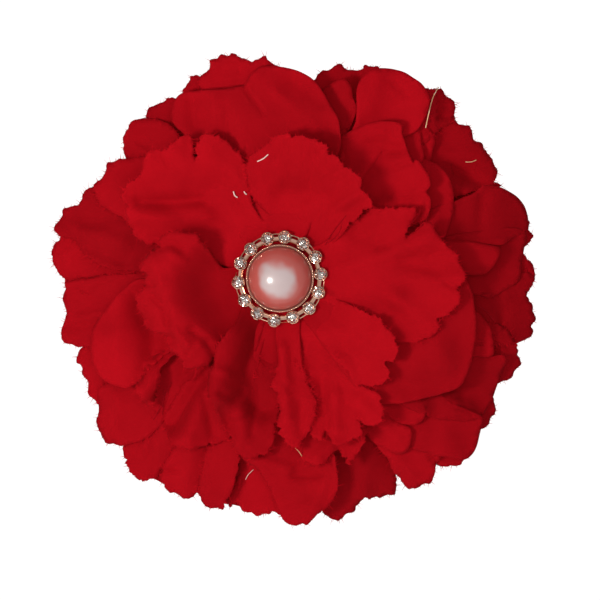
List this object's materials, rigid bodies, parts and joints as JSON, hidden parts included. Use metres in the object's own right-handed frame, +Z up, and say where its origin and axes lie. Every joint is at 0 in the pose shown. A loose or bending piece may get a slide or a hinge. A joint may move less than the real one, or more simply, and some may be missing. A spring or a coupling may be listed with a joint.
{
  "type": "flower hair clip",
  "caption": "Layered fabric flower with a pearl and crystal button at its centre, backed with felt and mounted on a sprung alligator hair clip.",
  "frame": {"origin": "on the flower's axis, at the fixed arm's face that grips the hair", "axes": "-Y out of the flower's face, +Y into the hair, +Z up as worn, +X to the right seen from the front and towards the clip's tip"},
  "size_m": [0.1065, 0.0377, 0.1014],
  "materials": {
    "red_fabric": "matte woven",
    "dark_felt": "felted",
    "red_thread": "twisted thread",
    "pale_gold": "polished",
    "pearl": "pearlescent gloss",
    "crystal": "faceted, foil backed",
    "nickel_steel": "nickel plated",
    "clear_glue": "set hot-melt glue"
  },
  "bodies": {
    "flower": {"bezel_cup": "pale_gold", "button_shank": "pale_gold", "claw_cup_01": "pale_gold", "claw_cup_02": "pale_gold", "claw_cup_03": "pale_gold", "claw_cup_04": "pale_gold", "claw_cup_05": "pale_gold", "claw_cup_06": "pale_gold", "claw_cup_07": "pale_gold", "claw_cup_08": "pale_gold", "claw_cup_09": "pale_gold", "claw_cup_10": "pale_gold", "claw_cup_11": "pale_gold", "claw_cup_12": "pale_gold", "claw_cup_13": "pale_gold", "claw_cup_14": "pale_gold", "clip_fixed_arm": "nickel_steel", "crystal_01": "crystal", "crystal_02": "crystal", "crystal_03": "crystal", "crystal_04": "crystal", "crystal_05": "crystal", "crystal_06": "crystal", "crystal_07": "crystal", "crystal_08": "crystal", "crystal_09": "crystal", "crystal_10": "crystal", "crystal_11": "crystal", "crystal_12": "crystal", "crystal_13": "crystal", "crystal_14": "crystal", "cup_ring": "pale_gold", "felt_backing": "dark_felt", "glue_pad": "clear_glue", "hinge_pin": "nickel_steel", "pearl_cabochon": "pearl", "petal_layer_1": "red_fabric", "petal_layer_2": "red_fabric", "petal_layer_3": "red_fabric", "petal_layer_4": "red_fabric", "petal_layer_5": "red_fabric", "petal_layer_6": "red_fabric", "petal_layer_7": "red_fabric", "sewing_thread": "red_thread", "torsion_spring": "nickel_steel"},
    "lever": {"clip_moving_arm": "nickel_steel"}
  },
  "joints": [
    {"name": "clip_hinge", "type": "hinge", "parent": "flower", "child": "lever", "pos_m": [-0.009, 0.0032, 0], "axis": [0, 0, 1], "range_deg": [0, 35], "stiffness_Nm_per_rad": 0.05, "springref_deg": -68.75, "deforming": ["torsion_spring"]}
  ]
}
